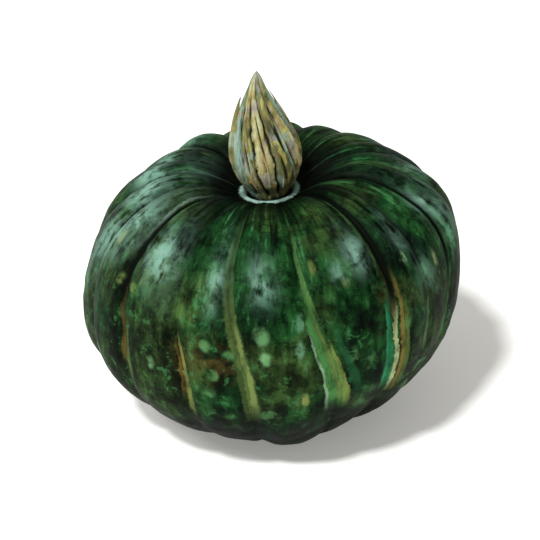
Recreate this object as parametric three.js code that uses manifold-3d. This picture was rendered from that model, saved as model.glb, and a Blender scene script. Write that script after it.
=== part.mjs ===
// A whole buttercup squash: a dark green, flat-shouldered fruit with uneven ribs, and the corky bulb of its stem.
// Millimetres, +Z up. The origin is the middle of the flat blossom button that the fruit stands on, and -Y is its front.
import * as THREE from "three";
import { mergeVertices } from "three/addons/utils/BufferGeometryUtils.js";
import Module from "manifold-3d";

// Driving dimensions of the fruit.
const FRUIT_RADIUS = 82.3;
const CROWN_HEIGHT = 62.8; // widest line up to the shoulders
const BELLY_DEPTH = 64; // widest line down to the blossom end, before the base is worn flat
const CROWN_FULLNESS = 2.56; // exponent of the outline: 2 is an ellipse, more is squarer
const BELLY_FULLNESS = 2.03;
const BASE_WEAR = 5.5; // how much of the blossom end is worn flat
const LEAN = 0.036; // sideways shift of the crown towards -X for each unit of height
const CANT = 0.075; // slope of the crown, higher towards +X

// Where the fruit grew out of round: azimuth in degrees from the front, height over the widest line, and rise.
const BULGES = [
  [-90, -12, 4],
  [-37, -33, 2.4],
  [17, -52, 3.7],
  [35, -48, -4],
  [88, 37, 4.2],
];
const BULGE_SPREAD = 24; // degrees
const BULGE_TALLNESS = 26;

// The hollow that the stem stands in, with the raised collar of skin round the stem's foot.
const HOLLOW_DEPTH = 20.8;
const HOLLOW_RADIUS = 24;
const SEAT_RADIUS = 9.8; // the flat floor inside the collar
const COLLAR_RADIUS = 11.4;
const COLLAR_HALF_WIDTH = 1.4;
const COLLAR_HEIGHT = 2.2;

// The round valley that sets off the blossom button.
const BUTTON_VALLEY_RADIUS = 23;
const BUTTON_VALLEY_HALF_WIDTH = 3;
const BUTTON_VALLEY_DEPTH = 5.6;

// The furrows between the ribs: azimuth on the shoulder and on the belly, in degrees from the front towards +X.
const FURROWS = [
  [-78, -73],
  [-57, -52],
  [-34, -27],
  [-15, -7],
  [10, 20],
  [43, 38],
  [58, 54],
  [74, 68],
  [91, 88],
  [108, 107],
  [125, 127],
  [143, 146],
  [163, 164],
  [184, 181],
  [204, 202],
  [223, 225],
  [243, 246],
  [262, 266],
];
const DRIFT_FROM = 48; // heights over the widest line between which a furrow drifts
const DRIFT_TO = -16;
const RIB_HEIGHT = 1.8; // crest over furrow, on a rib of the usual width
const USUAL_RIB_WIDTH = 22; // degrees
const RIB_ROUNDNESS = 2.4;
const SHOULDER_GAIN = 0.9; // how much higher the ribs stand where the shoulders turn in
const RIB_SWELL = 0.7; // how much one rib's crest differs from the next
const RIB_STATIONS = [0, 0.08, 0.25, 0.5, 0.75, 0.92]; // shares of a rib's width where vertices lie

// Driving dimensions of the stem.
const STEM_OUTLINE = [
  [8, 0],
  [11.9, 5.5],
  [15.7, 15],
  [15.4, 25],
  [11.8, 36.5],
  [8, 45],
  [4.8, 51.5],
  [1.6, 58.5],
]; // radius and height
const STEM_HEIGHT = 60.5;
const STEM_SIDES = 54;
const STEM_RINGS = 22;
const FLUTES = 9;
const FLUTE_DEPTH = 1.3;
const FLUTE_TWIST = -0.7; // radians from foot to tip, towards +X where positive
const STEM_BOW = -1.7; // sideways, where the stem bows most
const BOW_HEIGHT = 49;
const BOW_LENGTH = 18;
const FOOT_GAP = 0.3;

const wasm = await Module();
wasm.setup();

const RINGS = { belly: 18, crown: 10 };
const QUARTER_TURN = Math.PI / 2;
const radians = THREE.MathUtils.degToRad;
const smooth = THREE.MathUtils.smoothstep;
const bell = (x, halfWidth) => Math.exp(-((x / halfWidth) ** 2));

// Height of the fruit's outline at a radius, measured from the widest line.
function crownHeight(radius) {
  const share = Math.min(radius / FRUIT_RADIUS, 1);
  const shoulder = CROWN_HEIGHT * (1 - share ** CROWN_FULLNESS) ** (1 / CROWN_FULLNESS);
  const collar = COLLAR_HEIGHT * bell(radius - COLLAR_RADIUS, COLLAR_HALF_WIDTH);
  const floor = Math.max(radius, SEAT_RADIUS);
  return shoulder - HOLLOW_DEPTH * bell(floor, HOLLOW_RADIUS) + (radius > SEAT_RADIUS ? collar : 0);
}

const seatHeight = () => CROWN_HEIGHT - HOLLOW_DEPTH * bell(SEAT_RADIUS, HOLLOW_RADIUS);

function bellyHeight(radius) {
  const share = Math.min(radius / FRUIT_RADIUS, 1);
  const belly = -BELLY_DEPTH * (1 - share ** BELLY_FULLNESS) ** (1 / BELLY_FULLNESS);
  const valley = BUTTON_VALLEY_DEPTH * bell(radius - BUTTON_VALLEY_RADIUS, BUTTON_VALLEY_HALF_WIDTH);
  return belly + valley;
}

// The outline from the blossom end, out over the belly, up over the shoulder and down to the seat, as radius and height.
function fruitOutline() {
  const points = [new THREE.Vector2(0, bellyHeight(0))];
  const underside = [18, 20.5, 23, 25.5, 28];
  underside.forEach((radius) => points.push(new THREE.Vector2(radius, bellyHeight(radius))));
  for (let ring = 1; ring <= RINGS.belly; ring++) {
    const radius = FRUIT_RADIUS * Math.sin(THREE.MathUtils.lerp(0.42, QUARTER_TURN, ring / RINGS.belly));
    points.push(new THREE.Vector2(radius, bellyHeight(radius)));
  }
  for (let ring = 1; ring <= RINGS.crown; ring++) {
    const radius = FRUIT_RADIUS * Math.cos(THREE.MathUtils.lerp(0, 1.17, ring / RINGS.crown));
    points.push(new THREE.Vector2(radius, crownHeight(radius)));
  }
  const hollow = [26, 20, 15, COLLAR_RADIUS + 1, COLLAR_RADIUS, SEAT_RADIUS + 0.05, SEAT_RADIUS];
  hollow.forEach((radius) => points.push(new THREE.Vector2(radius, crownHeight(radius))));
  points.push(new THREE.Vector2(0, seatHeight()));
  return points;
}

// One rib at a height: its left furrow's azimuth and its width in degrees.
function rib(index, height) {
  const drift = smooth(DRIFT_FROM - height, 0, DRIFT_FROM - DRIFT_TO);
  const furrow = ([shoulder, belly]) => THREE.MathUtils.lerp(shoulder, belly, drift);
  const left = furrow(FURROWS[index % FURROWS.length]);
  const right = furrow(FURROWS[(index + 1) % FURROWS.length]);
  return { left, width: (right - left + 360) % 360 };
}

// How far the skin stands out over the even outline because the fruit grew unevenly.
function bulge(azimuth, height) {
  const rises = BULGES.map(([at, level, rise]) => {
    const aside = THREE.MathUtils.euclideanModulo(azimuth - at + 180, 360) - 180;
    return rise * bell(aside, BULGE_SPREAD) * bell(height - level, BULGE_TALLNESS);
  });
  return rises.reduce((sum, rise) => sum + rise, 0);
}

// How far the skin lies below the even outline, a share of the way across a rib.
function furrowDepth(index, share, radius, height) {
  const { left, width } = rib(index, height);
  const crest = 1 - Math.abs(2 * share - 1) ** RIB_ROUNDNESS;
  const size = RIB_HEIGHT * (0.35 + 0.65 * Math.min(width / USUAL_RIB_WIDTH, 1.2));
  const shoulders = height > 0 ? 1 + SHOULDER_GAIN * bell(height - 46, 16) : 1;
  const swell = RIB_SWELL * Math.sin(2.7 * index + 1) * crest;
  const furrow = smooth(radius, 14, 34) * (size * shoulders * (1 - crest) - swell);
  return furrow - smooth(radius, 20, 50) * bulge(left + share * width, height);
}

// The ribbed skin: a lathe of the outline whose columns are moved to the ribs' stations and sunk into the furrows.
function ribbedSkin() {
  const outline = fruitOutline();
  const columns = FURROWS.length * RIB_STATIONS.length;
  const skin = new THREE.LatheGeometry(outline, columns);
  const place = skin.getAttribute("position");
  const normal = skin.getAttribute("normal");
  for (let v = 0; v < place.count; v++) {
    const column = Math.floor(v / outline.length) % columns;
    const index = Math.floor(column / RIB_STATIONS.length);
    const share = RIB_STATIONS[column % RIB_STATIONS.length];
    const { x: radius, y: height } = outline[v % outline.length];
    const { left, width } = rib(index, height);
    const azimuth = radians(left + share * width);
    const outward = Math.hypot(normal.getX(v), normal.getZ(v));
    const depth = furrowDepth(index, share, radius, height);
    const reach = radius < 1e-6 ? 0 : radius - depth * outward;
    const level = height - depth * normal.getY(v);
    const x = reach * Math.sin(azimuth);
    const slope = CANT * smooth(level, -BELLY_DEPTH, 50 - BELLY_DEPTH);
    place.setXYZ(v, x - LEAN * (level + BELLY_DEPTH), -reach * Math.cos(azimuth), level + x * slope);
  }
  return skin.translate(0, 0, BELLY_DEPTH - BASE_WEAR);
}

function solidOf(geometry) {
  const bare = geometry.clone();
  bare.deleteAttribute("normal");
  bare.deleteAttribute("uv");
  const merged = mergeVertices(bare, 1e-3);
  return new wasm.Manifold(
    new wasm.Mesh({
      numProp: 3,
      vertProperties: merged.getAttribute("position").array,
      triVerts: new Uint32Array(merged.index.array),
    }),
  );
}

function geometryOf(solid) {
  const { vertProperties, triVerts } = solid.getMesh();
  const geometry = new THREE.BufferGeometry();
  geometry.setAttribute("position", new THREE.BufferAttribute(vertProperties, 3));
  geometry.setIndex(new THREE.BufferAttribute(triVerts, 1));
  geometry.computeVertexNormals();
  return geometry;
}

// The fruit stands on its button and on the ring of ribs round it, which its own weight has worn flat.
function fruit() {
  const ground = new THREE.BoxGeometry(4 * FRUIT_RADIUS, 4 * FRUIT_RADIUS, BELLY_DEPTH);
  ground.translate(0, 0, -BELLY_DEPTH / 2);
  const rind = new THREE.MeshStandardMaterial({ color: 0x1c3a20, roughness: 0.42, metalness: 0 });
  const mesh = new THREE.Mesh(geometryOf(solidOf(ribbedSkin()).subtract(solidOf(ground))), rind);
  mesh.name = "fruit";
  return mesh;
}

function stemOutline() {
  const middle = new THREE.SplineCurve(STEM_OUTLINE.map(([radius, height]) => new THREE.Vector2(radius, height)));
  return [
    new THREE.Vector2(0, 0),
    ...middle.getSpacedPoints(STEM_RINGS),
    new THREE.Vector2(0, STEM_HEIGHT),
  ];
}

// The stem: a corky bulb with twisting flutes, drawn out to a point.
function stem() {
  const outline = stemOutline();
  const cork = new THREE.LatheGeometry(outline, STEM_SIDES);
  const place = cork.getAttribute("position");
  for (let v = 0; v < place.count; v++) {
    const turn = (2 * Math.PI * (Math.floor(v / outline.length) % STEM_SIDES)) / STEM_SIDES;
    const { x: radius, y: height } = outline[v % outline.length];
    const twist = (FLUTE_TWIST * height) / STEM_HEIGHT;
    const wave = 0.5 + 0.5 * Math.cos(FLUTES * (turn - twist));
    const depth = FLUTE_DEPTH * (1 - Math.sqrt(wave)) * smooth(height, 0, 8) * Math.min(radius / 8, 1);
    const reach = radius < 1e-6 ? 0 : radius - depth;
    const bow = STEM_BOW * bell(height - BOW_HEIGHT, BOW_LENGTH);
    place.setXYZ(v, reach * Math.sin(turn) + bow, -reach * Math.cos(turn), height);
  }
  const material = new THREE.MeshStandardMaterial({ color: 0x8a8c5c, roughness: 0.8, metalness: 0 });
  const mesh = new THREE.Mesh(cork, material);
  mesh.name = "stem";
  return mesh;
}

const squash = new THREE.Group();
squash.add(fruit());

// The stem stands square on the canted seat, just clear of it.
const seat = new THREE.Group();
seat.position.set(-LEAN * (seatHeight() + BELLY_DEPTH), 0, seatHeight() + BELLY_DEPTH - BASE_WEAR);
seat.rotation.y = -Math.atan(CANT);
const footed = stem();
footed.position.z = FOOT_GAP;
seat.add(footed);
squash.add(seat);

export default squash;
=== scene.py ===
"""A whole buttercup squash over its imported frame: the ribbed fruit, its corky stem and a studio."""

import math

import bpy
from bpy.props import FloatProperty, FloatVectorProperty, PointerProperty
from bpy.types import Operator, Panel, PropertyGroup
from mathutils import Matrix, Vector


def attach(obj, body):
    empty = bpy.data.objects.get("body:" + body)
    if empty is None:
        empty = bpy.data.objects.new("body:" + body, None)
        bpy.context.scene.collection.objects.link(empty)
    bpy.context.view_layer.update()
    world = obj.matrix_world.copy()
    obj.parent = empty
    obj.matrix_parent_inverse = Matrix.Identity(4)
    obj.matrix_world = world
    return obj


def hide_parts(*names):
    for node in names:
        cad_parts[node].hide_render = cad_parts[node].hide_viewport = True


bl_info = {
    "name": "Buttercup Squash",
    "version": (1, 0, 0),
    "blender": (4, 5, 0),
    "location": "View3D > Sidebar > Squash",
    "description": "Builds the ribbed fruit and the corky stem of a buttercup squash",
    "category": "Add Mesh",
}

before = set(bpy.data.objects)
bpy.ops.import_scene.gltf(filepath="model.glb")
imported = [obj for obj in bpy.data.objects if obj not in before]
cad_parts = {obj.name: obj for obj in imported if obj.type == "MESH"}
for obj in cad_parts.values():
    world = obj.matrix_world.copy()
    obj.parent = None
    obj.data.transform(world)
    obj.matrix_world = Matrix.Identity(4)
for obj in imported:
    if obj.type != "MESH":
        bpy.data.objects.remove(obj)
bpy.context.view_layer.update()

MM = 0.001
QUARTER_TURN = math.pi / 2
FULL_TURN = 2 * math.pi

# The furrows between the ribs: azimuth on the shoulder and on the belly,
# in degrees from the front towards +X.
FURROWS = (
    (-78, -73), (-57, -52), (-34, -27), (-15, -7), (10, 20), (43, 38), (58, 54), (74, 68),
    (91, 88), (108, 107), (125, 127), (143, 146), (163, 164), (184, 181), (204, 202),
    (223, 225), (243, 246), (262, 266),
)
# Heights over the widest line between which a furrow drifts from one azimuth to the other.
DRIFT_FROM, DRIFT_TO = 48 * MM, -16 * MM
# How far the crown leans aside for each unit of height, and how much of the blossom end is worn flat.
LEAN = 0.036
BASE_WEAR = 5.5 * MM
RIB_ROUNDNESS = 2.4
USUAL_RIB_WIDTH = 22  # degrees
SHOULDER_GAIN = 0.9
SHOULDER_HEIGHT, SHOULDER_SPREAD = 46 * MM, 16 * MM
RIB_SWELL = 0.7 * MM
RIBS_START, RIBS_FULL = 14 * MM, 34 * MM

# How sharp the line in each furrow is, and how dark the shade painted into it.
CREASES = (0.5, 1.0, 0.3, 0.35, 0.4, 1.0, 0.35, 1.1, 0.6, 0.9, 0.5, 1.0, 0.4, 0.8, 0.6, 1.0, 0.5, 0.8)
# Where the fruit grew out of round: azimuth in degrees, then height over the widest line and rise,
# both in millimetres.
BULGES = ((-90, -12, 4), (-37, -33, 2.4), (17, -52, 3.7), (35, -48, -4), (88, 37, 4.2))
BULGE_SPREAD = 24
BULGE_TALLNESS = 26 * MM

# The stem's outline: height and radius in millimetres.
STEM_OUTLINE = (
    (0, 7.6), (5.5, 11.6), (15, 15.8), (25, 15.4), (36.5, 11.8), (45, 8), (51.5, 4.8),
    (58.5, 1.6), (60.5, 0),
)

# The tone of each bark plate round the stem, from 0, pale blue-green, over olive and ochre to 1, cream.
PLATE_TONES = (0.84, 0.36, 0.74, 0.15, 0.55, 0.38, 0.72, 0.20, 0.60, 0.06, 0.66)

# Loose strips of bark: azimuth at the foot in degrees, then the heights of both ends, width and lift
# in millimetres, and tone.
SPLINTERS = (
    (-62, 14, 48, 4.2, 1.6, 0.62),
    (84, 12, 40, 4.0, 1.5, 0.86),
    (-30, 5, 44, 2.6, 0.5, 0.10),
    (-8, 4, 50, 3.0, 0.4, 0.60),
    (14, 8, 38, 2.4, 0.6, 0.95),
    (38, 3, 46, 2.8, 0.5, 0.42),
    (62, 8, 43, 2.6, 0.7, 0.12),
    (-88, 6, 40, 2.8, 0.8, 0.22),
    (112, 5, 45, 3.0, 0.6, 0.50),
    (138, 9, 50, 2.6, 0.9, 0.80),
    (165, 4, 42, 3.2, 0.5, 0.33),
    (192, 6, 52, 2.6, 0.6, 0.64),
    (220, 10, 46, 2.8, 0.8, 0.16),
    (246, 5, 44, 3.0, 0.6, 0.74),
)

# Splits and knots in the stem: azimuth at the foot in degrees, height in millimetres, half width in
# degrees, half height in millimetres, and depth as a share of the deepest.
SPLITS = (
    (50, 37, 11, 5, 0.62),
    (58, 31, 5, 6, 0.8),
    (-18, 24, 3.5, 10, 1.0),
    (47, 18, 3.5, 9, 1.0),
    (-24, 8, 6, 4, 0.8),
    (4, 6, 7, 3.5, 0.7),
    (28, 8, 5, 4, 0.8),
    (18, 34, 2.4, 12, 1.0),
    (-62, 18, 4, 8, 0.7),
    (-112, 26, 4, 9, 0.8),
    (112, 24, 4, 10, 0.9),
    (150, 32, 4, 8, 0.9),
    (186, 14, 6, 5, 0.7),
    (214, 28, 4, 10, 1.0),
)


# -------- arithmetic in node trees


class Wire:
    """A number or a vector in a node tree. Arithmetic on it adds the nodes that work it out."""

    def __init__(self, tree, socket):
        self.tree = tree
        self.socket = socket


def feed(tree, socket, value):
    """Links a Wire to a socket, or sets the socket to a plain value."""
    if isinstance(value, Wire):
        tree.links.new(value.socket, socket)
    else:
        socket.default_value = value


def reckon(tree, operation, *values):
    made = tree.nodes.new("ShaderNodeMath")
    made.operation = operation
    for socket, value in zip(made.inputs, values):
        feed(tree, socket, value)
    return Wire(tree, made.outputs[0])


def forward(operation):
    return lambda self, *others: reckon(self.tree, operation, self, *others)


def backward(operation):
    return lambda self, other: reckon(self.tree, operation, other, self)


for name, operation in (
    ("add", "ADD"), ("sub", "SUBTRACT"), ("mul", "MULTIPLY"), ("truediv", "DIVIDE"),
):
    setattr(Wire, f"__{name}__", forward(operation))
    setattr(Wire, f"__r{name}__", backward(operation))
for name, operation in (
    ("__pow__", "POWER"), ("__gt__", "GREATER_THAN"), ("__abs__", "ABSOLUTE"),
    ("sin", "SINE"), ("cos", "COSINE"), ("arccos", "ARCCOSINE"), ("floor", "FLOOR"),
    ("at_least", "MAXIMUM"), ("at_most", "MINIMUM"),
):
    setattr(Wire, name, forward(operation))
Wire.__neg__ = lambda self: self * -1


def add(tree, kind, inputs=None, **settings):
    """A new node, with its settings, and with its inputs set or linked by name or place."""
    made = tree.nodes.new(kind)
    for key, value in settings.items():
        setattr(made, key, value)
    for key, value in (inputs or {}).items():
        feed(tree, made.inputs[key], value)
    return made


def out(made, key=0):
    return Wire(made.id_data, made.outputs[key])


def result(tree, kind, inputs=None, **settings):
    """The first output of a new node."""
    return out(add(tree, kind, inputs, **settings))


def bell(x, half_width):
    share = x / half_width
    return reckon(x.tree, "EXPONENT", -(share * share))


def smooth(x, low, high):
    """0 up to low and 1 from high, or the other way round, with a soft ramp between."""
    made = add(
        x.tree,
        "ShaderNodeMapRange",
        {"Value": x, "From Min": low, "From Max": high},
        interpolation_type="SMOOTHSTEP",
    )
    return out(made)


def ramp(x, low, high, start, end):
    made = add(
        x.tree,
        "ShaderNodeMapRange",
        {"Value": x, "From Min": low, "From Max": high, "To Min": start, "To Max": end},
    )
    return out(made)


def between(a, b, share):
    return a + (b - a) * share


def vector(tree, x, y, z):
    return result(tree, "ShaderNodeCombineXYZ", {0: x, 1: y, 2: z})


def parts_of(place):
    made = add(place.tree, "ShaderNodeSeparateXYZ", {0: place})
    return out(made, 0), out(made, 1), out(made, 2)


def scaled(place, factor):
    made = add(place.tree, "ShaderNodeVectorMath", {0: place}, operation="SCALE")
    feed(place.tree, made.inputs["Scale"], factor)
    return out(made)


def noise(place, scale, detail=2.0, roughness=0.5, distortion=0.0):
    """Cloudy noise from 0 to 1, about 0.5 on average."""
    made = add(
        place.tree,
        "ShaderNodeTexNoise",
        {
            "Vector": place,
            "Scale": scale,
            "Detail": detail,
            "Roughness": roughness,
            "Distortion": distortion,
        },
    )
    return out(made)


def length_of(x, y):
    return reckon(x.tree, "SQRT", x * x + y * y)


def hue(code, alpha=1.0):
    """A colour from its screen code, as the nodes want it."""
    shares = [int(code[place : place + 2], 16) / 255 for place in (0, 2, 4)]
    linear = [
        share / 12.92 if share <= 0.04045 else ((share + 0.055) / 1.055) ** 2.4
        for share in shares
    ]
    return (*linear, alpha)


# -------- geometry node trees


def shape_tree(name, inputs):
    """A geometry tree with a Geometry output and the named inputs, each with its kind."""
    tree = bpy.data.node_groups.new(name, "GeometryNodeTree")
    for label, kind in inputs.items():
        tree.interface.new_socket(label, in_out="INPUT", socket_type=kind)
    tree.interface.new_socket("Geometry", in_out="OUTPUT", socket_type="NodeSocketGeometry")
    entry = tree.nodes.new("NodeGroupInput")
    given = {label: Wire(tree, entry.outputs[label]) for label in inputs}
    return tree, given


def moved(tree, geometry, place=None, offset=None):
    inputs = {"Geometry": geometry}
    if place is not None:
        inputs["Position"] = place
    if offset is not None:
        inputs["Offset"] = offset
    return result(tree, "GeometryNodeSetPosition", inputs)


def stored(tree, geometry, name, value, domain="POINT"):
    made = add(
        tree,
        "GeometryNodeStoreNamedAttribute",
        {"Geometry": geometry, "Name": name},
        data_type="FLOAT",
        domain=domain,
    )
    feed(tree, made.inputs["Value"], value)
    return out(made)


def recalled(tree, name):
    return result(tree, "GeometryNodeInputNamedAttribute", {"Name": name}, data_type="FLOAT")


def looked_up(index, values):
    """The value at a whole-number index."""
    tree = index.tree
    whole = result(tree, "FunctionNodeFloatToInt", {0: index}, rounding_mode="ROUND")
    made = add(tree, "GeometryNodeIndexSwitch", {0: whole}, data_type="FLOAT")
    while len(made.index_switch_items) < len(values):
        made.index_switch_items.new()
    for place, value in enumerate(values):
        made.inputs[place + 1].default_value = value
    return out(made)


def ended(tree, geometry, material):
    """Closes a tree: smooth faces, real instances and the material."""
    soft = result(tree, "GeometryNodeSetShadeSmooth", {"Geometry": geometry})
    real = result(tree, "GeometryNodeRealizeInstances", {"Geometry": soft})
    coated = result(tree, "GeometryNodeSetMaterial", {"Geometry": real, "Material": material})
    leave = tree.nodes.new("NodeGroupOutput")
    tree.links.new(coated.socket, leave.inputs["Geometry"])


def closed_sheet(tree, columns, rows, place, marks):
    """A grid bent into a closed skin: place gives each vertex from its shares around and along."""
    grid = result(
        tree,
        "GeometryNodeMeshGrid",
        {"Size X": 1.0, "Size Y": 1.0, "Vertices X": columns, "Vertices Y": rows},
    )
    for name, value in marks.items():
        grid = stored(tree, grid, name, value)
    bent = moved(tree, grid, place=place)
    return result(tree, "GeometryNodeMergeByDistance", {"Geometry": bent, "Distance": 0.01 * MM})


def grid_shares(tree):
    """The shares of the way around and along a unit grid."""
    x, y, _ = parts_of(out(tree.nodes.new("GeometryNodeInputPosition")))
    return x + 0.5, y + 0.5


def made_piece(name, tree, values):
    """Runs a tree once and keeps its mesh as a plain object."""
    piece = bpy.data.objects.new(name, bpy.data.meshes.new(name + "_seed"))
    bpy.context.scene.collection.objects.link(piece)
    shaper = piece.modifiers.new("Shape", "NODES")
    shaper.node_group = tree
    sockets = {
        item.name: item.identifier
        for item in tree.interface.items_tree
        if item.item_type == "SOCKET" and item.in_out == "INPUT"
    }
    for label, value in values.items():
        shaper[sockets[label]] = value
    piece.update_tag()
    evaluated = piece.evaluated_get(bpy.context.evaluated_depsgraph_get())
    mesh = bpy.data.meshes.new_from_object(evaluated)
    piece.modifiers.clear()
    piece.data = mesh
    mesh.name = name
    if not mesh.polygons:
        raise RuntimeError(f"the tree {tree.name} made no faces")
    return piece


# -------- the fruit's shape

NUMBER, WHOLE, VECTOR, MATERIAL = (
    f"NodeSocket{kind}" for kind in ("Float", "Int", "Vector", "Material")
)
FRUIT_SIZES = (
    "Girth Radius", "Crown Height", "Belly Depth", "Base Wear", "Lean", "Cant",
    "Hollow Depth", "Hollow Radius", "Collar Radius", "Collar Height", "Rib Height",
    "Crease Depth", "Wrinkle Depth", "Lump Height", "Wart Height",
)
COLUMNS_PER_RIB, RINGS = 20, 230
CROWN_FULLNESS = 2.56
BELLY_FULLNESS = 2.03
SEAT_RADIUS = 9.8 * MM
COLLAR_HALF_WIDTH = 1.7 * MM
VALLEY_RADIUS, VALLEY_HALF_WIDTH, VALLEY_DEPTH = 23 * MM, 3 * MM, 5.6 * MM
BELLY_ROWS = 0.45
CROWN_ROWS = 0.85
CROWN_EDGE = 19 * MM


def superellipse(share, fullness):
    inside = (1 - share**fullness).at_least(0)
    return inside ** (1 / fullness)


def fruit_outline(along, size):
    """Radius and height of the outline, from the blossom end to the stem's seat."""
    girth = size["Girth Radius"]
    belly = girth * (along * (QUARTER_TURN / BELLY_ROWS)).sin()
    edge_angle = (CROWN_EDGE / girth).arccos()
    crown_share = (along - BELLY_ROWS) / (CROWN_ROWS - BELLY_ROWS)
    crown = girth * (crown_share * edge_angle).cos()
    seat = (1 - along) * (CROWN_EDGE / (1 - CROWN_ROWS))
    above = along > BELLY_ROWS
    radius = between(belly, between(crown, seat, along > CROWN_ROWS), above)
    share = (radius / girth).at_most(1)
    valley = bell(radius - VALLEY_RADIUS, VALLEY_HALF_WIDTH) * VALLEY_DEPTH
    low = valley - size["Belly Depth"] * superellipse(share, BELLY_FULLNESS)
    floor = radius.at_least(SEAT_RADIUS)
    hollow = size["Hollow Depth"] * bell(floor, size["Hollow Radius"])
    lip = bell(radius - size["Collar Radius"], COLLAR_HALF_WIDTH) * (radius > SEAT_RADIUS)
    high = size["Crown Height"] * superellipse(share, CROWN_FULLNESS) - hollow
    high = high + lip * size["Collar Height"]
    return radius, between(low, high, above)


def furrow_lines(rib, height):
    """The azimuths of a rib's two furrows at a height, in degrees."""
    drift = smooth(height, DRIFT_FROM, DRIFT_TO)
    closed = (*FURROWS, (FURROWS[0][0] + 360, FURROWS[0][1] + 360))
    lines = []
    for index in (rib, rib + 1):
        shoulder = looked_up(index, [line[0] for line in closed])
        belly = looked_up(index, [line[1] for line in closed])
        lines.append(between(shoulder, belly, drift))
    return lines


def rib_depth(rib, across, sharp, width, radius, height, size):
    """How far the skin lies below the even outline because of the furrows."""
    crest = 1 - across**RIB_ROUNDNESS
    usual = 0.35 + (width / USUAL_RIB_WIDTH).at_most(1.2) * 0.65
    rise = bell(height - SHOULDER_HEIGHT, SHOULDER_SPREAD)
    shoulders = 1 + rise * (height > 0) * SHOULDER_GAIN
    swell = (rib * 2.7 + 1).sin() * crest * RIB_SWELL
    furrow = size["Rib Height"] * usual * shoulders * (1 - crest) - swell
    crease = size["Crease Depth"] * across**14 * sharp * smooth(height, -30 * MM, 40 * MM)
    return smooth(radius, RIBS_START, RIBS_FULL) * (furrow + crease)


def grown_bulges(x, y, radius, height):
    """The rise of the skin where the fruit grew out of round."""
    total = 0.0
    for azimuth, level, rise in BULGES:
        at = math.radians(azimuth)
        facing = (x * math.sin(at) - y * math.cos(at)) / radius.at_least(MM)
        aside = facing.at_most(1).at_least(-1).arccos()
        spread = bell(aside, math.radians(BULGE_SPREAD))
        tall = bell(height - level * MM, BULGE_TALLNESS)
        total = spread * tall * (rise * MM) + total
    return total * smooth(radius, 20 * MM, 50 * MM)


def rib_space(x, y, radius, height):
    """A place on the fruit with azimuth stretched out, so that noise on it runs along the ribs."""
    safe = radius.at_least(MM)
    down = (height - radius * 0.5) * 4
    return vector(x.tree, x / safe, y / safe, down)


def skin_relief(place, size):
    """Lumps, warts and the wrinkles that run into the stem's hollow."""
    x, y, height = parts_of(place)
    radius = length_of(x, y)
    lumps = (noise(place, 42, 2) - 0.5) * size["Lump Height"] * 2
    spots = add(
        place.tree,
        "ShaderNodeTexVoronoi",
        {"Vector": place, "Scale": 120.0, "Smoothness": 0.6},
        feature="SMOOTH_F1",
    )
    warty = smooth(noise(place, 30, 2), 0.42, 0.62)
    warts = bell(out(spots), 0.32) * warty * size["Wart Height"]
    grain = rib_space(x, y, radius, height)
    wrinkles = (noise(grain, 9, 3, 0.6) - 0.5) * 2
    near_stem = smooth(radius, 11 * MM, 17 * MM) * smooth(radius, 62 * MM, 22 * MM)
    above = height > 0
    folds = wrinkles * size["Wrinkle Depth"] * near_stem * above
    strokes = (noise(grain, 5, 2) - 0.5) * (0.7 * MM) * smooth(radius, 24 * MM, 50 * MM)
    bulges = grown_bulges(x, y, radius, height)
    calm = smooth(radius, 12 * MM, 16 * MM)
    return bulges + (lumps + warts + strokes) * calm + folds


def build_fruit_tree():
    inputs = dict.fromkeys(FRUIT_SIZES, NUMBER)
    inputs |= {"Columns per Rib": WHOLE, "Rings": WHOLE, "Rind": MATERIAL}
    tree, size = shape_tree("Ribbed Fruit", inputs)
    turn, along = grid_shares(tree)
    ribs = len(FURROWS)
    around = turn * ribs
    rib = around.floor().at_most(ribs - 1)
    share = around - rib
    share = share - (share * FULL_TURN).sin() * 0.06
    radius, height = fruit_outline(along, size)
    left, right = furrow_lines(rib, height)
    width = right - left
    azimuth = (left + share * width) * math.radians(1)
    across = abs(share * 2 - 1).at_most(1)
    round_place = vector(tree, radius * azimuth.sin(), -(radius * azimuth.cos()), height)
    sharp = looked_up(rib + (share > 0.5), (*CREASES, CREASES[0]))
    # The crease mark is the mask of the shade painted into each furrow's line.
    marks = {
        "crease": across**7 * sharp,
        "sunk": rib_depth(rib, across, sharp, width, radius, height, size),
    }
    columns = size["Columns per Rib"] * ribs + 1
    skin = closed_sheet(tree, columns, size["Rings"] + 1, round_place, marks)
    place = out(tree.nodes.new("GeometryNodeInputPosition"))
    normal = out(tree.nodes.new("GeometryNodeInputNormal"))
    proud = skin_relief(place, size) - recalled(tree, "sunk")
    skin = moved(tree, skin, offset=scaled(normal, proud))
    skin = moved(tree, skin, place=settled(place, size))
    ended(tree, skin, size["Rind"])
    return tree


def settled(place, size):
    """Leans and cants the fruit, stands it on the ground and wears its base flat."""
    x, y, height = parts_of(place)
    depth = size["Belly Depth"]
    slope = size["Cant"] * smooth(height, -depth, 50 * MM - depth)
    raised = height + x * slope + depth - size["Base Wear"]
    level = result(
        place.tree,
        "ShaderNodeMath",
        {0: raised, 1: 0.0, 2: 0.8 * MM},
        operation="SMOOTH_MAX",
    )
    return vector(place.tree, x - size["Lean"] * (height + depth), y, level)


# -------- the stem's shape

STEM_SIZES = ("Height", "Girth", "Plate Depth", "Crack Depth", "Grain Depth", "Twist", "Bow")
STEM_HEIGHT = 60.5
STEM_RADIUS = 20
FOOT_ROWS = 0.06
PLATE_COLUMNS = 24
STEM_ROWS = 170
BOW_HEIGHT, BOW_LENGTH = 49 * MM, 18 * MM


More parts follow.
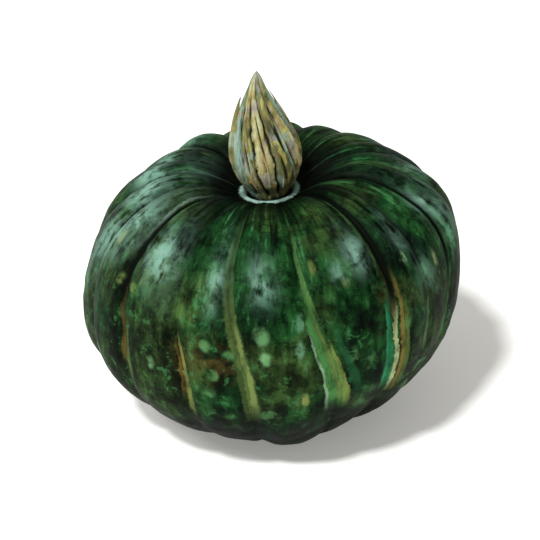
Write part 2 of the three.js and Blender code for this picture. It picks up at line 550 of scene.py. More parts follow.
def stem_radius(share, size):
    """The bulb's radius at a share of the stem's height."""
    made = share.tree.nodes.new("ShaderNodeFloatCurve")
    curve = made.mapping.curves[0]
    for place, (height, radius) in enumerate(STEM_OUTLINE):
        at = (height / STEM_HEIGHT, radius / STEM_RADIUS)
        if place < 2:
            curve.points[place].location = at
        else:
            curve.points.new(*at)
    made.mapping.update()
    feed(share.tree, made.inputs["Value"], share)
    return out(made) * (STEM_RADIUS * MM) * size["Girth"]


def stem_point(turn, height, radius, size):
    """A place on the stem before it is seated."""
    bow = size["Bow"] * bell(height - BOW_HEIGHT, BOW_LENGTH)
    return vector(turn.tree, radius * turn.sin() + bow, -(radius * turn.cos()), height)


def plate_relief(turn, share, size):
    """How deep the cork lies below the bulb, how near a crack is, and which plate it is on."""
    tree = turn.tree
    plates = len(PLATE_TONES)
    course = vector(tree, turn.sin(), turn.cos(), share * 2.2)
    wander = (noise(course, 1.6, 1) - 0.5) * 0.9 + (noise(course, 7, 2) - 0.5) * 0.35
    count = (turn - size["Twist"] * share) * (plates / FULL_TURN) + plates + wander
    plate = count.floor()
    across = count - plate
    edge = (across.at_most(1 - across) * 2).at_most(1)
    worn = (1 - edge) ** 2.2
    own = vector(tree, plate * 3.7, share * 5, 0.0)
    opened = smooth(noise(own, 1.0, 1), 0.42, 0.62)
    second = count * 2.3 + 0.4
    halves = second - second.floor()
    slit = (1 - (halves.at_most(1 - halves) * 2).at_most(1)) ** 6
    later = vector(tree, second.floor() * 5.3, share * 7, 4.0)
    slit = slit * smooth(noise(later, 1.0, 1), 0.52, 0.66) * 0.8
    crack = ((1 - edge) ** 6 * opened).at_least(slit)
    step = (across - 0.5) * 0.5
    grain = (noise(vector(tree, turn.sin() * 3, turn.cos() * 3, share * 2.2), 7, 3, 0.6) - 0.5) * 2
    split = 0.0
    foot_turn = turn - size["Twist"] * share
    for azimuth, level, half_width, half_height, deep in SPLITS:
        aside = (foot_turn - math.radians(azimuth)).cos().at_most(1).arccos()
        oval = bell(aside, math.radians(half_width)) * bell(share * STEM_HEIGHT - level, half_height)
        split = smooth(oval, 0.25, 0.8) * deep + split
    crack = crack.at_least(split)
    depth = size["Plate Depth"] * (worn - step * 0.8) + size["Crack Depth"] * crack
    depth = depth + size["Grain Depth"] * grain
    number = plate - (plate / plates).floor() * plates
    return depth, (worn * 0.55 + crack * 0.75).at_most(1), number


def build_stem_tree():
    inputs = dict.fromkeys(STEM_SIZES, NUMBER)
    inputs |= {"Seat": VECTOR, "Tilt": VECTOR, "Cork": MATERIAL}
    tree, size = shape_tree("Corky Stem", inputs)
    around, along = grid_shares(tree)
    turn = around * FULL_TURN - math.pi
    rise = smooth_free(along, FOOT_ROWS)
    depth, groove, number = plate_relief(turn, rise, size)
    radius = stem_radius(rise, size)
    foot = (along / FOOT_ROWS).at_most(1)
    fade = (radius / (7 * MM)).at_most(1) * smooth(rise, 0.0, 0.1) * foot
    reach = (radius * foot - depth * fade).at_least(0)
    height = rise * size["Height"]
    marks = {"groove": groove * fade, "tone": looked_up(number, PLATE_TONES), "rise": rise}
    columns = len(PLATE_TONES) * PLATE_COLUMNS + 1
    bulb = closed_sheet(tree, columns, STEM_ROWS, stem_point(turn, height, reach, size), marks)
    both = add(tree, "GeometryNodeJoinGeometry")
    for part in (bulb, loose_strips(tree, size)):
        tree.links.new(part.socket, both.inputs[0])
    seated = result(
        tree,
        "GeometryNodeTransform",
        {"Geometry": out(both), "Translation": size["Seat"]},
    )
    seated.socket.node.inputs["Rotation"].default_value = (0, 0, 0)
    tree.links.new(size["Tilt"].socket, seated.socket.node.inputs["Rotation"])
    ended(tree, seated, size["Cork"])
    return tree


def smooth_free(along, start):
    """0 up to start, then evenly up to 1."""
    return ((along - start) / (1 - start)).at_least(0)


def loose_strips(tree, size):
    """Strips of bark that lie on the bulb and stand free at the top."""
    seeds = result(tree, "GeometryNodePoints", {"Count": len(SPLINTERS), "Radius": MM})
    seeds = stored(tree, seeds, "strip", out(tree.nodes.new("GeometryNodeInputIndex")))
    line = result(tree, "GeometryNodeCurvePrimitiveLine", {"Start": (0, 0, 0), "End": (0, 0, 1)})
    line = result(tree, "GeometryNodeResampleCurve", {"Curve": line, "Count": 36})
    copies = result(tree, "GeometryNodeInstanceOnPoints", {"Points": seeds, "Instance": line})
    curves = result(tree, "GeometryNodeRealizeInstances", {"Geometry": copies})
    strip = recalled(tree, "strip")
    start, end, breadth, lift, tone, foot = (
        looked_up(strip, [row[column] for row in SPLINTERS])
        for column in (1, 2, 3, 4, 5, 0)
    )
    along = out(tree.nodes.new("GeometryNodeSplineParameter"))
    height = between(start, end, along) * MM
    rise = height / size["Height"]
    turn = foot * math.radians(1) + size["Twist"] * rise
    turn = turn + (noise(vector(tree, strip * 4.1, along * 2, 0.0), 1.5, 1) - 0.5) * 0.25
    proud = (0.05 * MM) + lift * MM * smooth(along, 0.55, 1.0) - smooth(along, 0.12, 0.0) * MM
    radius = stem_radius(rise, size) - size["Plate Depth"] * 0.4 + proud
    curves = moved(tree, curves, place=stem_point(turn, height, radius, size))
    taper = smooth(along, 0.0, 0.25) * smooth(along, 1.02, 0.55)
    curves = stored(tree, curves, "thick", breadth * MM * (taper * 0.85 + 0.15))
    facing = vector(tree, turn.sin(), -turn.cos(), 0.0)
    curves = result(
        tree,
        "GeometryNodeSetCurveNormal",
        {"Curve": curves, "Normal": facing},
        mode="FREE",
    )
    curves = stored(tree, curves, "tone", tone)
    curves = stored(tree, curves, "rise", rise)
    curves = stored(tree, curves, "groove", smooth(along, 0.1, 0.0) * 0.6)
    circle = result(tree, "GeometryNodeCurvePrimitiveCircle", {"Resolution": 10, "Radius": 0.5})
    x, y, _ = parts_of(out(tree.nodes.new("GeometryNodeInputPosition")))
    flat = moved(tree, circle, place=vector(tree, x, y * 0.3, 0.0))
    return result(
        tree,
        "GeometryNodeCurveToMesh",
        {"Curve": curves, "Profile Curve": flat, "Scale": recalled(tree, "thick"), "Fill Caps": True},
    )


# -------- materials


def surface(name):
    """A new material, its tree and its Principled shader."""
    material = bpy.data.materials.new(name)
    material.use_nodes = True
    tree = material.node_tree
    return material, tree, tree.nodes["Principled BSDF"]


def painted(under, over, mask):
    """One colour laid over another by a mask. Each is a Wire, a colour or a screen code."""
    tree = mask.tree
    made = add(tree, "ShaderNodeMix", data_type="RGBA", clamp_factor=True)
    feed(tree, made.inputs[0], mask)
    for place, colour in ((6, under), (7, over)):
        feed(tree, made.inputs[place], hue(colour) if isinstance(colour, str) else colour)
    return Wire(tree, made.outputs[2])


def banded(x, stops):
    """A colour ramp of (place, screen code) stops."""
    made = add(x.tree, "ShaderNodeValToRGB", {"Fac": x})
    elements = made.color_ramp.elements
    for index, (place, code) in enumerate(stops):
        element = elements[index] if index < 2 else elements.new(place)
        element.position = place
        element.color = hue(code)
    return out(made)


def attribute(tree, name):
    made = tree.nodes.new("ShaderNodeAttribute")
    made.attribute_name = name
    return out(made, "Fac")


def bumped(tree, shader, height, strength, distance):
    made = add(tree, "ShaderNodeBump", {"Height": height, "Strength": strength, "Distance": distance})
    tree.links.new(made.outputs["Normal"], shader.inputs["Normal"])


def stripe_group():
    """The mask of one stripe that follows a furrow down the rind."""
    group = bpy.data.node_groups.new("Rind Stripe", "ShaderNodeTree")
    names = (
        "Azimuth",
        "Height",
        "Shoulder Azimuth",
        "Belly Azimuth",
        "Top",
        "Bottom",
        "Top Width",
        "Bottom Width",
    )
    for name in names:
        group.interface.new_socket(name, in_out="INPUT", socket_type="NodeSocketFloat")
    group.interface.new_socket("Mask", in_out="OUTPUT", socket_type="NodeSocketFloat")
    entry = group.nodes.new("NodeGroupInput")
    given = {name: Wire(group, entry.outputs[name]) for name in names}
    height = given["Height"]
    drift = smooth(height, 106.0, 42.0)
    line = between(given["Shoulder Azimuth"], given["Belly Azimuth"], drift)
    fall = ramp(height, given["Top"], given["Bottom"], 0.0, 1.0)
    width = between(given["Top Width"], given["Bottom Width"], fall)
    aside = abs(given["Azimuth"] - line) / width.at_least(0.2)
    edge = smooth(aside, 1.0, 0.55)
    starts = smooth(height - given["Top"], 3.0, -9.0)
    ends = smooth(height - given["Bottom"], -4.0, 8.0)
    leave = group.nodes.new("NodeGroupOutput")
    group.links.new((edge * starts * ends).socket, leave.inputs["Mask"])
    return group


# Stripes: furrow number, azimuth shift on the shoulder and on the belly, top and bottom height in
# millimetres, top and bottom half width in degrees, colour and strength.
STRIPES = (
    (3, -0.4, -0.4, 114, 86, 1.6, 2.4, "4e6b45", 0.8),
    (3, 0, 0, 96, 34, 2.2, 3.2, "4f6434", 0.9),
    (3, 0.9, 0.9, 84, 40, 0.7, 1.4, "75844a", 0.7),
    (3, -1.6, -1.6, 70, 36, 0.4, 0.9, "25351a", 0.7),
    (4, 1, 1, 112, 86, 0.8, 1.7, "5c8a48", 0.85),
    (4, -0.4, -0.4, 92, 40, 1.5, 4.6, "4c8446", 0.9),
    (4, -2, -3.6, 80, 40, 0.4, 0.8, "86aa88", 0.8),
    (4, 0.6, 1, 88, 44, 0.4, 0.9, "75703a", 0.7),
    (4, 2.2, 3, 76, 40, 0.6, 1.6, "7d8f48", 0.75),
    (4, 5.5, 6.5, 84, 46, 0.8, 2.2, "1d4a2c", 0.8),
    (5, -1.6, 1.4, 98, 76, 0.8, 1.2, "7a6a32", 0.8),
    (5, -3.4, -0.6, 88, 42, 1.4, 2.2, "2f8a5a", 0.9),
    (5, -1.2, 1.8, 86, 40, 0.7, 1.0, "a8b680", 0.95),
    (5, 0.8, 3.9, 96, 38, 0.7, 1.2, "7a6c36", 0.8),
    (5, 2.4, 5.6, 84, 40, 0.8, 1.4, "5c6f34", 0.7),
    (1, -1.8, -1.8, 125, 101, 0.9, 0.7, "8fa89a", 0.75),
    (5, -3, -3, 125, 96, 1.6, 1.0, "4a6a3c", 0.8),
    (7, 2.4, 2.4, 112, 86, 1.0, 0.8, "4a8a5c", 0.7),
    (8, 0.6, 0.6, 125, 106, 2.0, 1.6, "4a7a44", 0.6),
    (11, 0.6, 0.6, 125, 106, 1.6, 1.6, "4a7a44", 0.6),
    (1, 0, 0, 84, 48, 1.2, 1.8, "5c4c22", 0.75),
    (1, 2.2, 2.2, 72, 40, 0.6, 1.2, "5c7a3c", 0.5),
    (2, 0.4, 0.4, 74, 34, 0.8, 1.5, "7a8344", 0.75),
    (2, -1.2, -1.2, 70, 44, 0.5, 0.9, "6d5226", 0.6),
    (6, 0, 0, 92, 52, 0.5, 1.1, "6f9a66", 0.5),
    (7, 0, 0, 96, 40, 0.7, 1.6, "5f8a58", 0.5),
    (8, 0, 0, 100, 38, 0.8, 2.2, "5a7a44", 0.6),
    (10, 0.5, 0.5, 98, 34, 1.2, 3.2, "57703a", 0.75),
    (11, -0.5, -0.5, 104, 44, 0.9, 2.0, "5f8c58", 0.7),
    (13, 0, 0, 96, 36, 1.4, 3.6, "6f8a4c", 0.75),
    (14, 0.8, 0.8, 90, 44, 0.8, 1.8, "7a6a32", 0.5),
    (15, 0, 0, 102, 38, 1.0, 2.8, "4f8a58", 0.7),
    (17, 0.4, 0.4, 94, 36, 1.2, 2.6, "6b7f3c", 0.65),
)

# Waxy bloom on the shoulders, and the highlights painted into it: azimuth, height, half width in degrees,
# half height in millimetres, and strength.
BLOOMS_AND_HIGHLIGHTS = (
    (-45, 100, 7, 7.5, 1.0),
    (-40, 90, 6, 8, 0.3),
    (-19, 97, 2.6, 10, 0.8),
    (-3, 99, 4.5, 6.5, 0.75),
    (34, 105, 4.5, 5.5, 1.0),
    (24, 101, 2.4, 3, 0.7),
    (-86, 82, 12, 14, 0.4),
    (80, 99, 7, 13, 0.4),
    (-68, 101, 9, 10, 1.0),
    (-78, 90, 6, 9, 0.7),
    (-112, 107, 20, 5, 1.0),
    (-90, 107, 12, 5, 1.0),
    (75, 108, 4, 4, 1.0),
    (53, 107, 4, 5, 0.7),
    (100, 112, 16, 4, 0.6),
    (58, 88, 5, 8, 0.4),
    (135, 104, 12, 8, 0.5),
    (172, 100, 8, 10, 0.6),
    (214, 102, 10, 9, 0.6),
)

# Single pale flecks: azimuth, height, half width in degrees, half height in millimetres, colour.
FLECKS = (
    (-3.4, 79, 3.0, 5.0, "5f8f5c"),
    (-2.2, 69, 2.2, 4.0, "6a9a66"),
    (8.8, 84, 1.8, 4.5, "5c8f6c"),
    (8.3, 73, 1.7, 5.0, "6a9a78"),
    (-40, 56, 2.2, 4.0, "5f8a5c"),
    (-20.4, 72, 2.4, 3.6, "4f7f4c"),
    (-18.2, 59, 2.0, 3.4, "55824c"),
    (-69, 96, 2.6, 4.0, "7d8c5c"),
    (9.7, 47, 1.6, 5.0, "7f8c4c"),
    (57, 89, 2.0, 5.5, "5fa070"),
    (64, 90, 1.4, 6.5, "8a9468"),
    (77, 93, 1.6, 8.0, "5a9a6a"),
    (50, 99, 1.2, 3.4, "6f8f6c"),
    (16, 103, 1.5, 3.0, "5a6a34"),
    (26, 97, 1.6, 2.6, "5f6f44"),
    (-31, 84, 3.0, 5.0, "4a6a34"),
    (-51, 84, 3.0, 3.0, "5f7a3c"),
    (-59, 84, 2.6, 3.0, "6a7f44"),
    (112, 86, 2.2, 5.0, "6a9a6c"),
    (154, 78, 2.6, 4.0, "5f8f5c"),
    (196, 84, 2.4, 5.0, "6a9a66"),
    (233, 72, 2.8, 4.0, "55824c"),
)


def polar(tree):
    """Azimuth in degrees, radius and height in millimetres, and rib space, of a place on the rind."""
    place = out(tree.nodes.new("ShaderNodeTexCoord"), "Object")
    x, y, height = parts_of(place)
    upright = x + (height + BASE_WEAR) * LEAN
    radius = length_of(upright, y)
    azimuth = reckon(tree, "ARCTAN2", upright, -y) * math.degrees(1)
    grain = rib_space(upright, y, radius, height)
    return place, azimuth, radius * 1000, height * 1000, grain


def patch(azimuth, height, at, level, half_width, half_height):
    """A soft oval patch of the rind."""
    aside = (azimuth - at) / half_width
    over = (height - level) / half_height
    return reckon(azimuth.tree, "EXPONENT", -(aside * aside + over * over))


def wrapped(at):
    """Azimuths past the back are counted on from the side that the feature is on."""
    return at - 360 if at > 180 else at


def rind_material(colours):
    """The rind's ground colour, in green and olive, and the fields that the rest is painted with."""
    material, tree, shader = surface("Squash Rind")
    place, azimuth, radius, height, grain = polar(tree)
    fine_streaks = noise(grain, 22, 4, 0.65)
    broad_streaks = noise(grain, 8, 3, 0.6, 0.3)
    clouds = noise(place, 38, 4, 0.6, 0.4)
    dapple = noise(place, 150, 3, 0.6)
    wobble = (noise(place, 90, 2) - 0.5) * 3.0
    body = clouds * 0.4 + broad_streaks * 0.3 + fine_streaks * 0.15 + dapple * 0.15
    colour = banded(
        body,
        (
            (0.37, "010501"),
            (0.44, "05190a"),
            (0.50, "0d2e12"),
            (0.57, "1e4a22"),
            (0.66, "3f7446"),
        ),
    )
    olive = banded(
        body,
        (
            (0.37, "030401"),
            (0.44, "131a09"),
            (0.50, "243216"),
            (0.57, "3c5026"),
            (0.66, "73855a"),
        ),
    )
    colour = painted(colour, olive, smooth(noise(place, 26, 3, 0.6), 0.44, 0.60) * 0.75)
    return finish_rind(
        material,
        tree,
        shader,
        colours,
        {
            "place": place,
            "azimuth": azimuth,
            "radius": radius,
            "height": height,
            "grain": grain,
            "fine": fine_streaks,
            "broad": broad_streaks,
            "clouds": clouds,
            "dapple": dapple,
            "wobble": wobble,
            "colour": colour,
        },
    )


def finish_rind(material, tree, shader, colours, at):
    """Paints the mottling, stripes, flecks, bloom with painted highlights, and painted shade over the
    ground colour, in that order.
    """
    azimuth, height, radius = at["azimuth"], at["height"], at["radius"]
    colour = at["colour"]
    lower = smooth(height, 96.0, 66.0) * smooth(height, 18.0, 34.0)
    # Dark and pale brush-like strokes over the crown.
    strokes = at["fine"] * 0.55 + at["broad"] * 0.45
    upper = smooth(height, 56.0, 84.0)
    colour = painted(colour, "020602", smooth(strokes, 0.49, 0.37) * (0.35 + upper * 0.5))
    colour = painted(colour, "3f7f4c", smooth(strokes, 0.55, 0.68) * (0.25 + upper * 0.45))
    # Pale speckle that every rib carries low down.
    cells = add(
        tree,
        "ShaderNodeTexVoronoi",
        {"Vector": at["place"], "Scale": 85.0, "Randomness": 1.0},
        feature="F1",
    )
    speckle = smooth(out(cells) + (at["dapple"] - 0.5) * 0.9, 0.40, 0.12)
    chosen = smooth(noise(at["place"], 55, 1), 0.5, 0.62)
    colour = painted(colour, "4f7f4c", speckle * chosen * lower * 0.75)
    # Russet blush.
    russet = patch(azimuth, height, -20, 66, 9, 9) + patch(azimuth, height, 41, 88, 4, 6)
    russet = russet + patch(azimuth, height, 150, 70, 10, 9)
    colour = painted(colour, "4a3a1c", russet * smooth(at["dapple"], 0.42, 0.6) * 0.7)
    # Small sharp-edged mottling.
    crisp = noise(at["place"], 170, 5, 0.72, 0.35)
    colour = painted(colour, "020602", smooth(crisp, 0.48, 0.42) * 0.6)
    colour = painted(colour, "3f7a46", smooth(crisp, 0.57, 0.65) * (0.15 + lower * 0.3))
    # Stripes in the furrows.
    group = stripe_group()
    wavering = azimuth + at["wobble"] * 0.5 + (crisp - 0.5) * 3.0
    for number, high, low, top, bottom, top_width, bottom_width, code, strength in STRIPES:
        shoulder = wrapped(FURROWS[number][0] + high)
        belly = wrapped(FURROWS[number][1] + low)
        made = tree.nodes.new("ShaderNodeGroup")
        made.node_tree = group
        feed(tree, made.inputs["Azimuth"], wavering)
        feed(tree, made.inputs["Height"], height)
        for name, value in (
            ("Shoulder Azimuth", shoulder),
            ("Belly Azimuth", belly),
            ("Top", top),
            ("Bottom", bottom),
            ("Top Width", top_width),
            ("Bottom Width", bottom_width),
        ):
            made.inputs[name].default_value = value
        broken = ramp(at["fine"] * 0.6 + at["dapple"] * 0.4, 0.38, 0.54, 0.3, 1.0)
        colour = painted(colour, code, out(made) * broken * strength)
    for at_azimuth, level, half_width, half_height, code in FLECKS:
        oval = smooth(
            patch(wavering, height, at_azimuth, level, half_width, half_height),
            0.3,
            0.85,
        ) * smooth(at["dapple"], 0.3, 0.55)
        colour = painted(colour, code, oval * ramp(at["fine"], 0.3, 0.6, 0.4, 0.9))
    # Waxy bloom with painted highlights, broken into strokes that run down the ribs.
    bloom_and_highlight = 0.0
    for at_azimuth, level, half_width, half_height, strength in BLOOMS_AND_HIGHLIGHTS:
        bloom_and_highlight = (
            patch(azimuth, height, wrapped(at_azimuth), level, half_width, half_height)
            * strength
            + bloom_and_highlight
        )
    strokes = smooth(at["fine"] * 0.6 + at["dapple"] * 0.4, 0.37, 0.53)
    patchy = ramp(smooth(noise(at["place"], 75, 4, 0.65, 0.3), 0.44, 0.58), 0, 1, 0.32, 1.0)
    colour = painted(colour, colours["bloom_and_highlight"], bloom_and_highlight.at_most(1) * strokes * patchy)
    # Painted shade in the furrows, in the hollow round the stem and over the lower belly, where little
    # light falls.
    shoulders = smooth(height, 50.0, 92.0)
    # Painted shade darkens each furrow's line on the shoulders.
    crease = (attribute(tree, "crease") * 1.5).at_most(1) * shoulders
    colour = painted(colour, "040904", crease)
    # Painted shade in the hollow round the stem: near-black strokes, closing in to solid dark beside the
    # stem.
    hollow = smooth(radius, 54.0, 20.0) * smooth(height, 60.0, 90.0)
    hollow_shade_strokes = smooth(at["fine"] * 0.5 + at["broad"] * 0.5, 0.64, 0.44)
    near = smooth(radius + (at["fine"] - 0.5) * 40, 50.0, 27.0)
    colour = painted(colour, "020502", hollow * (hollow_shade_strokes * 0.9 + near * 0.85).at_most(1))
    # Painted shade: the lower belly is painted near black from a ragged line downwards.
    under = smooth(height + (crisp - 0.5) * 30, 47.0, 20.0)
    colour = painted(colour, "020502", under * 0.95)
    # At the very bottom, round the blossom end, the rind's own dark green comes back.
    beneath = smooth(height + (crisp - 0.5) * 12, 15.0, 6.0)
    colour = painted(colour, "1a3320", beneath * 0.7)
    # The collar of skin round the stem's foot: paler skin, with a highlight painted into its pale colour.
    ragged = radius + (at["fine"] - 0.5) * 3.2
    ring = smooth(ragged, 13.9, 12.9) * smooth(radius, 9.6, 10.6) * smooth(height, 96.0, 100.0)
    colour = painted(colour, colours["collar"], ring * ramp(at["dapple"], 0.36, 0.56, 0.45, 1.0))
    # The blossom button underneath.
    button = smooth(radius, 22.0, 18.5) * smooth(height, 8.0, 3.0)
    rings = noise(at["place"], 120, 3)
    colour = painted(colour, banded(rings, ((0.35, "6f6a48"), (0.65, "a39a70"))), button)
    tree.links.new(colour.socket, shader.inputs["Base Color"])
    gloss = ramp(at["dapple"], 0.3, 0.7, 0.46, 0.62) + ring * 0.2 + button * 0.3
    tree.links.new(gloss.socket, shader.inputs["Roughness"])
    shader.inputs["Specular IOR Level"].default_value = 0.03
    pores = noise(at["place"], 700, 2)
    bumped(tree, shader, at["fine"] * 0.5 + crisp * 0.3 + pores * 0.2, 0.5, 0.7 * MM)
    return material


def cork_material(colours):
    """Plates in their own tones, dabbed and streaked, with dark cracks."""
    material, tree, shader = surface("Stem Cork")
    place = out(tree.nodes.new("ShaderNodeTexCoord"), "Object")
    x, y, height = parts_of(place)
    tone = attribute(tree, "tone")
    groove = attribute(tree, "groove")
    rise = attribute(tree, "rise")
    stretched = vector(tree, x, y, height * 0.16)
    fibres = noise(stretched, 420, 4, 0.65)
    dabs = noise(vector(tree, x, y, height * 0.35), 190, 3, 0.6, 0.5)
    touches = noise(vector(tree, y, x, height * 0.3), 240, 2, 0.5, 0.8)
    clouds = noise(place, 90, 2)
    shade = tone + (dabs - 0.5) * 1.3 + (fibres - 0.5) * 0.6
    colour = banded(
        shade,
        (
            (0.00, "86a496"),
            (0.20, "66765a"),
            (0.40, "65683f"),
            (0.58, "7f7a48"),
            (0.74, "988c54"),
            (0.95, "b2b288"),
        ),
    )
    cool = smooth(clouds, 0.48, 0.64) * smooth(dabs, 0.42, 0.56)
    colour = painted(colour, "98b4a6", cool * 0.75)
    lilac = smooth(noise(place, 130, 2), 0.56, 0.66) * smooth(dabs, 0.6, 0.45)
    colour = painted(colour, "9a94a0", lilac * 0.55)
    colour = painted(colour, "b9b45e", smooth(touches, 0.58, 0.68) * 0.7)
    colour = painted(colour, "a07a58", smooth(touches, 0.42, 0.33) * 0.45)
    dark = smooth(fibres * 0.6 + dabs * 0.4, 0.45, 0.34)
    colour = painted(colour, "3d4428", dark * 0.75)
    foot = smooth(rise, 0.20, 0.03) * smooth(dabs, 0.62, 0.42)
    colour = painted(colour, "343a20", foot * 0.8)
    colour = painted(colour, colours["crack"], smooth(groove, 0.18, 0.75))
    tree.links.new(colour.socket, shader.inputs["Base Color"])
    shader.inputs["Roughness"].default_value = 0.78
    shader.inputs["Specular IOR Level"].default_value = 0.25
    bumped(tree, shader, fibres * 0.7 + dabs * 0.3, 0.6, 0.5 * MM)
    return material


def floor_material(settings):
    material, tree, shader = surface("Studio Floor")
    place = out(tree.nodes.new("ShaderNodeTexCoord"), "Object")
    paper = noise(place, 9, 3)
    colour = banded(paper, ((0.3, "f6f6f4"), (0.7, "fbfbfa")))
    tree.links.new(colour.socket, shader.inputs["Base Color"])
    shader.inputs["Roughness"].default_value = 0.9
    shader.inputs["Specular IOR Level"].default_value = 0.1
    shader.inputs["Emission Color"].default_value = hue("f4f3ee")
    shader.inputs["Emission Strength"].default_value = settings.glow
    return material


# -------- settings


def distance(name, description, default, low=0.0):
    return FloatProperty(
        name=name,
        description=description,
        default=default,
        min=low,
        unit="LENGTH",
        subtype="DISTANCE",
        precision=4,
    )


def colour_setting(name, description, code):
    return FloatVectorProperty(
        name=name,
        description=description,
        default=hue(code)[:3],
        subtype="COLOR",
        size=3,
        min=0.0,
        max=1.0,
    )


class SquashFruitSettings(PropertyGroup):
    girth_radius: distance("Girth radius", "Radius at the widest line", 82.3 * MM)
    crown_height: distance("Crown height", "Widest line to the shoulders", 62.8 * MM)
    belly_depth: distance("Belly depth", "Widest line to the blossom end", 64 * MM)
    base_wear: distance("Base wear", "How much of the blossom end is flat", BASE_WEAR)
    hollow_depth: distance("Hollow depth", "Depth of the hollow round the stem", 20.8 * MM)
    hollow_radius: distance("Hollow radius", "Reach of the hollow", 24 * MM)
    collar_radius: distance("Collar radius", "Radius of the lip round the stem", 11.4 * MM)
    collar_height: distance("Collar height", "Height of the lip", 2.2 * MM)
    rib_height: distance("Rib height", "Crest over furrow", 1.8 * MM)
    crease_depth: distance("Crease depth", "Extra depth of a furrow's line", 0.9 * MM)
    wrinkle_depth: distance("Wrinkle depth", "Wrinkles round the stem", 0.9 * MM)
    lump_height: distance("Lump height", "Rise of the rind's lumps", 1.2 * MM)
    wart_height: distance("Wart height", "Rise of the small warts", 0.4 * MM)
    lean: FloatProperty(
        name="Lean",
        description="Sideways shift of the crown for each unit of height",
        default=LEAN,
    )
    cant: FloatProperty(name="Cant", description="Slope of the crown", default=0.075)
    # The colour of the waxy bloom and of the highlights painted on the shoulders.
    bloom_and_highlight: colour_setting("Bloom", "Waxy bloom on the shoulders", "769e8c")
    # The lip's pale colour is partly its own skin and partly a painted highlight.
    collar: colour_setting("Collar", "Lip of skin round the stem", "8fb0a4")


class SquashStemSettings(PropertyGroup):
    height: distance("Height", "Foot to tip", 60.5 * MM)
    girth: FloatProperty(
        name="Girth",
        description="Thickness, as a share of the usual",
        default=0.94,
        min=0.5,
        max=1.2,
        subtype="FACTOR",
    )
    plate_depth: distance("Plate depth", "How far the plates stand over their edges", 1.3 * MM)
    crack_depth: distance("Crack depth", "Depth of the open cracks", 1.5 * MM)
    grain_depth: distance("Grain depth", "Relief of the cork's fibres", 0.35 * MM)
    twist: FloatProperty(
        name="Twist",
        description="Turn of the plates from foot to tip",
        default=-0.7,
        unit="ROTATION",
        subtype="ANGLE",
    )
    bow: distance("Bow", "Sideways bow near the tip", -1.7 * MM, low=-0.01)
    crack: colour_setting("Crack", "Bottom of the cracks", "1e2412")


class SquashStageSettings(PropertyGroup):
    floor_size: distance("Floor size", "Side of the square floor", 8.0)
    elevation: FloatProperty(
        name="Camera elevation",
        description="Angle above the horizon",
        default=math.radians(30),
        unit="ROTATION",
        subtype="ANGLE",
    )
    camera_distance: distance("Camera distance", "Camera to the fruit's middle", 1.15)
    lens: FloatProperty(
        name="Lens",
        description="Focal length in millimetres",
        default=170.0,
        min=20.0,
        subtype="DISTANCE_CAMERA",
    )
    daylight: FloatProperty(
        name="Daylight",
        description="Strength of the even white surroundings",
        default=0.38,
        min=0.0,
    )
    glow: FloatProperty(
        name="Floor glow",
        description="Light from the floor itself, which lifts the shadow",
        default=0.25,
        min=0.0,
    )


# -------- operators


def labelled(settings, names):
    """Reads each of a tree's named inputs from the property of the same name."""
    return {name: getattr(settings, name.lower().replace(" ", "_")) for name in names}


def opaque(colour):
    return (*colour, 1.0)


class SquashFruitBuild(Operator):
    """Makes the ribbed fruit with its hollow, collar and blossom button"""

    bl_idname = "squash.build_fruit"
    bl_label = "Build Fruit"

    def execute(self, context):
        settings = context.scene.squash_fruit
        colours = {"bloom_and_highlight": opaque(settings.bloom_and_highlight), "collar": opaque(settings.collar)}
        material = rind_material(colours)
        values = labelled(settings, FRUIT_SIZES)
        values |= {"Columns per Rib": COLUMNS_PER_RIB, "Rings": RINGS, "Rind": material}
        fruit = made_piece("ribbed_fruit", build_fruit_tree(), values)
        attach(fruit, "root")
        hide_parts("fruit")
        return {"FINISHED"}


class SquashStemBuild(Operator):
    """Makes the corky stem with its twisting plates, cracks and loose strips"""

    bl_idname = "squash.build_stem"
    bl_label = "Build Stem"

    def execute(self, context):
        settings = context.scene.squash_stem
        fruit = context.scene.squash_fruit
        dip = math.exp(-((SEAT_RADIUS / fruit.hollow_radius) ** 2)) * fruit.hollow_depth
        level = fruit.crown_height - dip
        tilt = -math.atan(fruit.cant)
        seat = Vector(
            (-fruit.lean * (level + fruit.belly_depth), 0, level + fruit.belly_depth - fruit.base_wear)
        )
        seat += Vector((math.sin(tilt), 0, math.cos(tilt))) * (0.3 * MM)
        values = labelled(settings, STEM_SIZES)
        values["Seat"] = seat
        values["Tilt"] = (0, tilt, 0)
        values["Cork"] = cork_material({"crack": opaque(settings.crack)})
        stem = made_piece("corky_stem", build_stem_tree(), values)
        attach(stem, "root")
        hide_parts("stem")
        return {"FINISHED"}


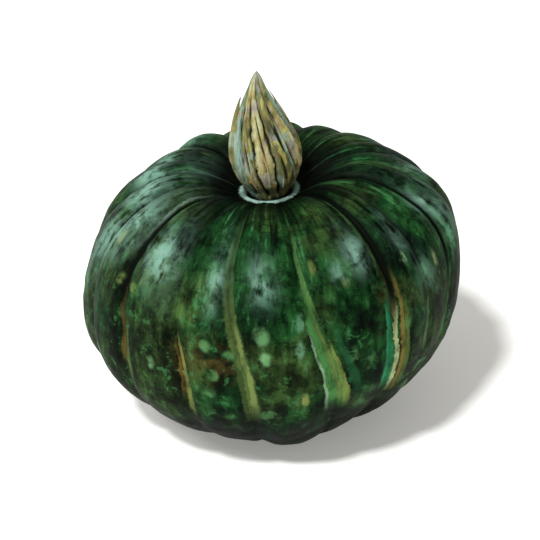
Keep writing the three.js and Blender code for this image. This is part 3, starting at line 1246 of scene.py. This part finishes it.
class SquashStageBuild(Operator):
    """Lays the pale floor and sets the lights, the surroundings and the camera"""

    bl_idname = "squash.build_stage"
    bl_label = "Build Stage"

    def execute(self, context):
        settings = context.scene.squash_stage
        self.lay_floor(context, settings)
        self.light(context, settings)
        self.aim_camera(context, settings)
        view = context.scene.view_settings
        view.view_transform = "Standard"
        view.look = "None"
        view.exposure = 0.0
        view.gamma = 1.0
        return {"FINISHED"}

    def lay_floor(self, context, settings):
        half = settings.floor_size / 2
        corners = [(-half, -half, 0), (half, -half, 0), (half, half, 0), (-half, half, 0)]
        mesh = bpy.data.meshes.new("studio_floor")
        mesh.from_pydata(corners, [], [(0, 1, 2, 3)])
        mesh.materials.append(floor_material(settings))
        floor = bpy.data.objects.new("studio_floor", mesh)
        context.scene.collection.objects.link(floor)

    def light(self, context, settings):
        world = bpy.data.worlds.new("Daylight")
        context.scene.world = world
        world.use_nodes = True
        sky = world.node_tree.nodes["Background"]
        sky.inputs["Color"].default_value = hue("fffdf7")
        sky.inputs["Strength"].default_value = settings.daylight
        for name, towards, kind, energy, width in LIGHTS:
            lamp = bpy.data.lights.new(name, kind)
            lamp.energy = energy
            if kind == "SUN":
                lamp.angle = width
            else:
                lamp.shape = "DISK"
                lamp.size = width
            holder = bpy.data.objects.new(name, lamp)
            context.scene.collection.objects.link(holder)
            holder.location = Vector(towards)
            aim = LIGHT_TARGET - holder.location
            holder.rotation_euler = aim.to_track_quat("-Z", "Y").to_euler()

    def aim_camera(self, context, settings):
        lens = bpy.data.cameras.new("view")
        lens.lens = settings.lens
        lens.sensor_width = 36
        lens.clip_end = 100
        camera = bpy.data.objects.new("view", lens)
        context.scene.collection.objects.link(camera)
        rise = settings.elevation
        back = Vector((0, -math.cos(rise), math.sin(rise)))
        up = Vector((0, math.sin(rise), math.cos(rise)))
        middle = Vector((0, 0, 58.5 * MM))
        target = middle + Vector((-3.74 * MM, 0, 0)) + up * (5.8 * MM)
        camera.location = target + back * settings.camera_distance
        camera.rotation_euler = (-back).to_track_quat("-Z", "Y").to_euler()
        context.scene.camera = camera


LIGHT_TARGET = Vector((0, 0, 50 * MM))
# Name, place in metres, kind, energy and width.
LIGHTS = (
    ("key", (-0.50, -0.80, 1.5), "SUN", 2.6, math.radians(7)),
    ("window", (-0.9, -0.5, 1.1), "AREA", 6.0, 0.45),
)


class SquashPanel(Panel):
    """Lists the squash's operators and settings"""

    bl_idname = "SQUASH_PT_main"
    bl_label = "Buttercup Squash"
    bl_space_type = "VIEW_3D"
    bl_region_type = "UI"
    bl_category = "Squash"

    def draw(self, context):
        for build, settings in (
            (SquashFruitBuild, context.scene.squash_fruit),
            (SquashStemBuild, context.scene.squash_stem),
            (SquashStageBuild, context.scene.squash_stage),
        ):
            box = self.layout.box()
            box.operator(build.bl_idname)
            for name in settings.bl_rna.properties.keys():
                if name not in ("rna_type", "name"):
                    box.prop(settings, name)


CLASSES = (
    SquashFruitSettings,
    SquashStemSettings,
    SquashStageSettings,
    SquashFruitBuild,
    SquashStemBuild,
    SquashStageBuild,
    SquashPanel,
)
SETTINGS = {
    "squash_fruit": SquashFruitSettings,
    "squash_stem": SquashStemSettings,
    "squash_stage": SquashStageSettings,
}


def register():
    for made in CLASSES:
        bpy.utils.register_class(made)
    for name, kind in SETTINGS.items():
        setattr(bpy.types.Scene, name, PointerProperty(type=kind))


def unregister():
    for name in SETTINGS:
        delattr(bpy.types.Scene, name)
    for made in reversed(CLASSES):
        bpy.utils.unregister_class(made)


def main():
    register()
    bpy.ops.squash.build_fruit()
    bpy.ops.squash.build_stem()
    bpy.ops.squash.build_stage()


if __name__ == "__main__":
    main()
